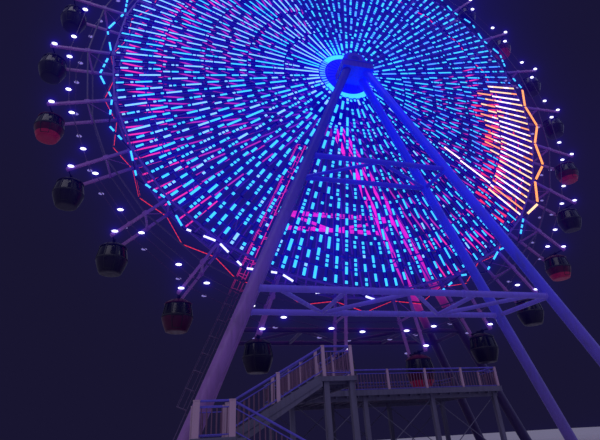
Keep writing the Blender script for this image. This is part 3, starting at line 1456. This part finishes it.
def cabin_bodies():
    """Roof, window band, tub, floor, bench and belt. The low part of the tub has a slot of its own."""
    roof = paint(turned_body(ROOF), SHELL)
    band = paint(turned_body(GLASS, open_top=True, open_bottom=True, wall=12), PANE)
    tub = paint(turned_body(TUB, open_top=True, wall=34), SHELL)
    paint(tub, LOW_TUB, lambda c: c.z < LOW_TUB_LEVEL * REAL)
    floor = paint(turned_body([(-1900, 560), (-1880, 566)]), TRIM)
    bench = turned_body([(-1878, 566), (-1470, 700)], sides=24)
    pick_faces(bench, lambda c, n: n.z > 0.9)
    bpy.ops.mesh.inset(thickness=330 * REAL, depth=0)
    bpy.ops.transform.translate(value=local(0, 0, -395))
    paint(settle(bench, "bench"), SEAT)
    start_clean()
    bpy.ops.mesh.primitive_torus_add(major_segments=32, minor_segments=8, major_radius=841 * REAL,
                                     minor_radius=27 * REAL, location=local(0, 0, BELT_LEVEL))
    belt = bpy.context.object
    belt.scale.z = 2.1
    return [roof, band, tub, floor, bench, paint(settle(belt, "belt"), TRIM)]


# %% Its posts, door frames, rails and hanger
def cabin_frames():
    """Window posts and roof ribs all round, and the frame of a door in front and behind."""
    frames, ribs = [], []
    for i in range(8):
        frames += strip(GLASS, 46, 30, 22.5 + 45 * i, 8)
        ribs += strip(ROOF[2:], 26, 26, 22.5 + 45 * i, 4)
    for facing in (90, 270):
        for side in (facing - 20, facing + 20):
            frames += strip([(-1840, 640)] + TUB[4:], 30, 18, side, 12)
            frames += strip(GLASS, 34, 26, side, 14)
        for z, radius in ((-1842, 640), (-1215, 854), (-500, 736)):
            frames += chain(on_level(z, radius, range(facing - 20, facing + 21, 10)), 34, 20, UP)
    return [paint(stamp(square_unit(0.1), frames, "posts"), TRIM),
            paint(stamp(square_unit(0.1), ribs, "ribs"), SHELL)]


def cabin_rails():
    """Door handles, two hand rails round the windows, the cross axle with its collars, and the hanger."""
    rails = []
    for facing in (90, 270):
        out = ray(facing - 14)
        rails.append(span((out * 846 - UP * 1400) * REAL, (out * 862 - UP * 1280) * REAL, 26, 26))
    for z, radius in ((-1030, 770), (-640, 700)):
        rails += chain(on_level(z, radius, range(0, 361, 15)), 26, 26)
    for start, end, thick in ((-1072, 1072, 88), (-290, 290, 150), (-860, -912, 150), (860, 912, 150)):
        rails.append(span(local(0, start, 0), local(0, end, 0), thick, thick, UP))
    straps = [span(local(0, y, 96), local(0, y, -175), 190, 26) for y in (-235, 235)]
    straps += [span(local(x, -235, -128), local(x, 235, -128), 30, 60, UP) for x in (-80, 80)]
    return [paint(stamp(round_unit(12), rails, "rails"), METAL),
            paint(stamp(square_unit(0.08), straps, "yoke"), METAL)]


# %% Twenty-six cabins
RED_CABINS, MAROON_CABINS = (2, 8, 11, 13, 16, 19, 21, 24), (5,)


def cabin_finishes(shell, low_tub):
    return [shell, smoked, rubber, dull_steel, seat_plastic, low_tub]


def cabin_look(k):
    """The finishes of a cabin and its slot."""
    if k in RED_CABINS:
        return cabin_finishes(red_shell, tub_red), "red_cabin_paint"
    if k in MAROON_CABINS:
        return cabin_finishes(maroon_shell, maroon_shell), "red_cabin_paint"
    return cabin_finishes(dark_shell, dark_shell), "dark_cabin_paint"


# The model cabin's six finishes all differ, because a join would make equal ones into one slot
model_parts = cabin_bodies() + cabin_frames() + cabin_rails()
model_cabin = merge(model_parts, "model_cabin", cabin_finishes(red_shell, tub_red))
for k in range(CABINS):
    name = f"cabin_{k + 1:02d}"
    finishes, slot = cabin_look(k)
    mesh = model_cabin.data.copy()
    for i, finish in enumerate(finishes):
        mesh.materials[i] = finish
    mesh.transform(Matrix.Translation(on_wheel(PIVOT_RADIUS, arm_angle(k), 0)))
    cabin = bpy.data.objects.new(f"{name}_shell", mesh)
    bpy.context.scene.collection.objects.link(cabin)
    dress(cabin, name, slot, finishes, replaces=[name], angle=40)
bpy.data.objects.remove(model_cabin)

# %% [markdown]
# ## The boarding deck
# The deck is a steel platform on columns, and its stair turns back on itself at a half landing. The solid
# slabs stay, and what a welder and a joiner would add goes on them: joists under the plates, toe boards along
# the edges, cross-bracing between the columns, nosings on the steps. Seen from below, the joists matter most.

# %% Deck trim
DECK_TOP, DECK_LOW, TOE_BOARD = 3600, 3440, 3560
DECK_X, DECK_Y = 6100, 3000
COLUMNS_X, COLUMNS_Y = (-5700, -1900, 1900, 5700), (-2700, 2700)
WING_X0, WING_X1, WING_Y = -6100, -4800, -9250
LANDING_TOP, LANDING_X0, LANDING_X1 = 1750, -10600, -9300
LANDING_Y0, LANDING_Y1, LANDING_BOARD = -10500, -8050, 1700
STAIR_FOOT_X, LOWER_STEPS, UPPER_STEPS, STAIR_WIDTH = -6400, 10, 11, 1200


def deck_trim():
    bars, rods = [], []
    joist = DECK_LOW - 46
    for x in range(-5800, 5801, 580):
        bars.append(beam((x, -DECK_Y + 30, joist), (x, DECK_Y - 30, joist), 60, 92, UP))
    for y in range(-8900, -3100, 640):
        bars.append(beam((WING_X0 + 40, y, joist), (WING_X1 - 40, y, joist), 50, 90, UP))
    for y in (-DECK_Y - 10, DECK_Y + 10):
        bars.append(beam((-DECK_X, y, TOE_BOARD), (DECK_X, y, TOE_BOARD), 20, 260, UP))
    for x in (WING_X0 - 10, WING_X1 + 10):
        bars.append(beam((x, WING_Y, TOE_BOARD), (x, -DECK_Y, TOE_BOARD), 20, 260, UP))
    for y in COLUMNS_Y:
        for a, b in zip(COLUMNS_X, COLUMNS_X[1:]):
            for low, high in ((320, 3150), (3150, 320)):
                rods.append(beam((a + 100, y, low), (b - 100, y, high), 46, 46))
        for x in COLUMNS_X:
            bars.append(beam((x, y, 1), (x, y, 26), 420, 420))
    square, slim = stamp(square_unit(), bars, "bars"), stamp(round_unit(8), rods, "rods")
    piece = merge([square, slim], "deck_joists_and_edges", [deck_paint])
    return dress(piece, "towers", "deck_steel", [deck_paint])


def stair_trim():
    bars = []
    for x_low, z_low, x_high, z_high, y0, steps in (
            (STAIR_FOOT_X, 0, LANDING_X1, LANDING_TOP, LANDING_Y0, LOWER_STEPS),
            (LANDING_X1, LANDING_TOP, WING_X0, DECK_TOP, WING_Y, UPPER_STEPS)):
        run, rise = (x_high - x_low) / steps, (z_high - z_low) / steps
        near, far = y0 + 20, y0 + STAIR_WIDTH - 20
        for i in range(steps):
            x, z = x_low + run * i, z_low + rise * (i + 1) - 12
            bars.append(beam((x, near, z), (x, far, z), 44, 34, UP))
        for y in (near - 7, far + 7):
            bars.append(beam((x_low + run * 0.6, y, z_low + rise * 0.6 + 60),
                             (x_high - run * 0.5, y, z_high - rise * 0.5 - 60), 26, 250, UP))
    for y in (LANDING_Y0 + 8, LANDING_Y1 - 8):
        bars.append(beam((LANDING_X0, y, LANDING_BOARD), (LANDING_X1, y, LANDING_BOARD), 16, 200, UP))
    x = LANDING_X0 - 8
    bars.append(beam((x, LANDING_Y0, LANDING_BOARD), (x, LANDING_Y1, LANDING_BOARD), 16, 200, UP))
    piece = stamp(square_unit(), bars, "stair_nosings_and_strings")
    return dress(piece, "towers", "deck_steel", [deck_paint])


# A worn grey paint on the deck's steel, dark with dirt in patches
deck_paint = painted_steel("worn_grey_deck_paint", ("55506c", "6a6684"), rough=0.55, dirt="2c2836",
                           dirt_share=0.5)
for name in ("boarding_deck", "stair_landing", "lower_stair", "upper_stair"):
    frame["nodes"][name].data.materials[0] = deck_paint
deck_trim()
stair_trim()

# %% [markdown]
# ## Railings
# The landing has square pale posts with low caps, dusky balusters, a violet top rail and a second rail just
# below it, and the same railing goes up the stair and round the deck. It is laid out from a list of posts,
# so a sloping panel gets upright balusters between sloping rails.

# %% Posts, rails and balusters
POST, LANDING_POST, RAIL_HEIGHT, EDGE = 120, 200, 1100, 110
LANDING_RAIL, DECK_RAIL = LANDING_TOP + RAIL_HEIGHT, DECK_TOP + RAIL_HEIGHT
BALUSTER_STEP, SECOND_RAIL, LOW_RAIL, SLOPING_LOW_RAIL = 165, 220, 130, 230
pale_paint = painted_steel("gloss_pale_railing_paint", ("b08cac", "c4a2c0"), rough=0.38, dirt="7a7688",
                           dirt_share=0.3)
rail_violet = painted_steel("gloss_violet_rail_paint", ("4a3fae", "6256c8"), rough=0.36, dirt="262050",
                            glow=0.06)
baluster_grey = painted_steel("violet_grey_baluster_paint", ("644662", "785678"), rough=0.5, dirt="2a2234")


def railing_piece(posts, name, replaces):
    """A railing from post to post; a post is (x, y, its floor, the top of its rail)."""
    stands, caps, rails, bars = [], [], [], []
    for x, y, floor, top in posts:
        wide = LANDING_POST if floor == LANDING_TOP else POST
        stands.append(beam((x, y, floor + HAIR), (x, y, top - 34), wide, wide))
        caps.append(beam((x, y, top - 34), (x, y, top - 1), wide + 16, wide + 16))
    for (ax, ay, floor_a, top_a), (bx, by, floor_b, top_b) in zip(posts, posts[1:]):
        a, b = Vector((ax, ay, top_a)), Vector((bx, by, top_b))
        for drop, wide, deep in ((35, 84, 66), (SECOND_RAIL, 44, 36)):
            rails.append(beam(a - UP * drop, b - UP * drop, wide, deep, UP))
        low_a, low_b = floor_a + LOW_RAIL, floor_b + LOW_RAIL
        if abs((top_a - floor_a) - (top_b - floor_b)) > 30 or abs(top_b - top_a) > 10:
            low_a, low_b = (top - RAIL_HEIGHT + SLOPING_LOW_RAIL for top in (top_a, top_b))
        rails.append(beam((a.x, a.y, low_a), (b.x, b.y, low_b), 44, 36, UP))
        across = Vector((a.y - b.y, b.x - a.x, 0))
        count = max(2, round(across.length / BALUSTER_STEP))
        for n in range(1, count):
            spot = a.lerp(b, n / count)
            low = low_a + (low_b - low_a) * n / count
            bars.append(beam((spot.x, spot.y, low), spot - UP * SECOND_RAIL, 34, 30, across))
    finishes = [pale_paint, rail_violet, baluster_grey]
    parts = [paint(stamp(square_unit(0.05), stands, "stands"), 0),
             paint(stamp(square_unit(0.2), caps, "caps"), 0),
             paint(stamp(square_unit(0.2), rails, "rails"), 1),
             paint(stamp(square_unit(0.1), bars, "bars"), 2)]
    return dress(merge(parts, name, finishes), "towers", "rail_paint", finishes, replaces=replaces)


# %% Where the posts stand
def on_landing(x, y):
    return (x, y, LANDING_TOP, LANDING_RAIL)


def on_deck(x, y):
    return (x, y, DECK_TOP, DECK_RAIL)


def deck_row(start, end, bays):
    """Posts at the ends of even bays along the deck's edge, without the first one."""
    return [on_deck(start[0] + (end[0] - start[0]) * i / bays, start[1] + (end[1] - start[1]) * i / bays)
            for i in range(1, bays + 1)]


def middle_post(y):
    """The post half-way up the upper stair, whose rail runs straight between the railings at its two ends."""
    step = UPPER_STEPS // 2
    run, rise = (WING_X0 - LANDING_X1) / UPPER_STEPS, (DECK_TOP - LANDING_TOP) / UPPER_STEPS
    x = LANDING_X1 + run * (step + 0.5)
    share = (x - LANDING_X1 + EDGE) / (WING_X0 - LANDING_X1 + 2 * EDGE)
    return (x, y, LANDING_TOP + rise * (step + 1), LANDING_RAIL + (DECK_RAIL - LANDING_RAIL) * share)


foot_rise = LANDING_TOP / LOWER_STEPS
foot_post = (STAIR_FOOT_X - 145, LANDING_Y0 + EDGE, foot_rise, foot_rise + RAIL_HEIGHT)
front, back = LANDING_Y0 + EDGE, LANDING_Y1 - EDGE
left, right = LANDING_X0 + EDGE, LANDING_X1 - EDGE
wing, wing_in, inner_y = WING_X0 + EDGE, WING_X1 - EDGE, WING_Y + EDGE
deck_front, deck_rear, deck_end = -DECK_Y + EDGE, DECK_Y - EDGE, DECK_X - EDGE
way_in = 1400                      # at both ends of the deck the rails stop so far from its middle line

outer = [foot_post, on_landing(right, front), on_landing(left, front), on_landing(left, back)]
outer += [on_landing(right, back), middle_post(back), on_deck(wing, back)]
outer += deck_row((wing, back), (wing, -way_in), 3)
railing_piece(outer, "outer_railing_panels", ["outer_railing"])

inner = [on_landing(right, inner_y), middle_post(inner_y), on_deck(wing, inner_y), on_deck(wing_in, inner_y)]
inner += deck_row((wing_in, inner_y), (wing_in, deck_front), 3)
inner += deck_row((wing_in, deck_front), (deck_end, deck_front), 5) + [on_deck(deck_end, -way_in)]
railing_piece(inner, "inner_railing_panels", ["inner_railing"])

rear = [on_deck(-deck_end, way_in), on_deck(-deck_end, deck_rear)]
rear += deck_row((-deck_end, deck_rear), (deck_end, deck_rear), 6) + [on_deck(deck_end, way_in)]
railing_piece(rear, "rear_railing_panels", [])

# %% [markdown]
# ## The studio
# A plain pale floor carries the model. The lamps only read as lamps if the room is dim, so the soft light is
# low: one wide overhead light, a fainter one from the side and a faint even fill. The backdrop that the
# camera sees, also through the cabins' windows, is darker than the one that lights the model, so the deep
# blue of the wheel keeps its colour.

# %% Floor, backdrop and light
def studio_floor():
    start_clean()
    bpy.ops.mesh.primitive_plane_add(size=160)
    floor = bpy.context.object
    bpy.ops.object.mode_set(mode="EDIT")
    bpy.ops.mesh.subdivide(number_cuts=3)
    settle(floor, "studio_floor")
    finish, tree, where = new_finish("studio_floor_paint")
    clouds = add(tree, "ShaderNodeTexNoise", None, {"Vector": where, "Scale": 0.35, "Detail": 6.0}).outputs[0]
    colour = mixed(tree, clouds, linear("b4b0b8"), linear("c6c2ca"))
    floor.data.materials.append(surface(finish, {"Base Color": colour, "Roughness": 0.7}))
    return floor


def studio_air():
    """One backdrop for the camera and behind the windows, and a paler one that lights the model."""
    world = bpy.data.worlds.new("studio_air")
    world.use_nodes = True
    tree = world.node_tree
    tree.nodes.clear()
    path = add(tree, "ShaderNodeLightPath").outputs
    seen = maths(tree, "MAXIMUM", path["Is Camera Ray"], path["Is Transmission Ray"])
    fill = add(tree, "ShaderNodeBackground", None, {"Color": linear("a8a6c8"), "Strength": 0.32})
    backdrop = add(tree, "ShaderNodeBackground", None, {"Color": linear("181530"), "Strength": 1.0})
    either = add(tree, "ShaderNodeMixShader", None, {0: seen, 1: fill.outputs[0], 2: backdrop.outputs[0]})
    add(tree, "ShaderNodeOutputWorld", None, {"Surface": either.outputs[0]})
    return world


def soft_sun(name, turn_deg, strength, soft_deg, tone):
    light = bpy.data.lights.new(name, "SUN")
    light.energy = strength
    light.angle = math.radians(soft_deg)
    light.color = linear(tone)[:3]
    sun = bpy.data.objects.new(name, light)
    sun.rotation_euler = [math.radians(v) for v in turn_deg]
    bpy.context.scene.collection.objects.link(sun)


scene = bpy.context.scene
studio_floor()
scene.world = studio_air()
soft_sun("key_light", (38, 0, -40), 0.65, 40, "f2ecff")
soft_sun("side_light", (62, 0, 70), 0.35, 60, "b8c0ff")

# %% [markdown]
# ## Glow
# Bright lamps bleed in any lens, and here they fill the air between the strings with deep blue. A bloom on
# the finished picture does that. It is tinted, so that it deepens the blue and doesn't bleach the lamps. The
# Standard view keeps the lamps' saturated colours.

# %% Glow and view
scene.view_settings.view_transform = "Standard"
scene.use_nodes = True
flow = scene.node_tree
flow.nodes.clear()
layers = add(flow, "CompositorNodeRLayers")
glow = add(flow, "CompositorNodeGlare", {"glare_type": "BLOOM", "quality": "HIGH"}, {
    "Image": layers.outputs[0], "Threshold": 0.25, "Strength": 1.0, "Size": 0.32,
    "Tint": (0.1, 0.0, 3.0, 1.0)})
add(flow, "CompositorNodeComposite", None, {"Image": glow.outputs[0]})
print("glow on")

# %% [markdown]
# ## Sizes, and the end
# The dressed model has to stay inside the solids' box, so both boxes are written down and compared.

# %% Sizes
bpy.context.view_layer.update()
total = sum(triangles(o) for o in bpy.data.objects if o.type == "MESH" and not o.get("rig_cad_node"))
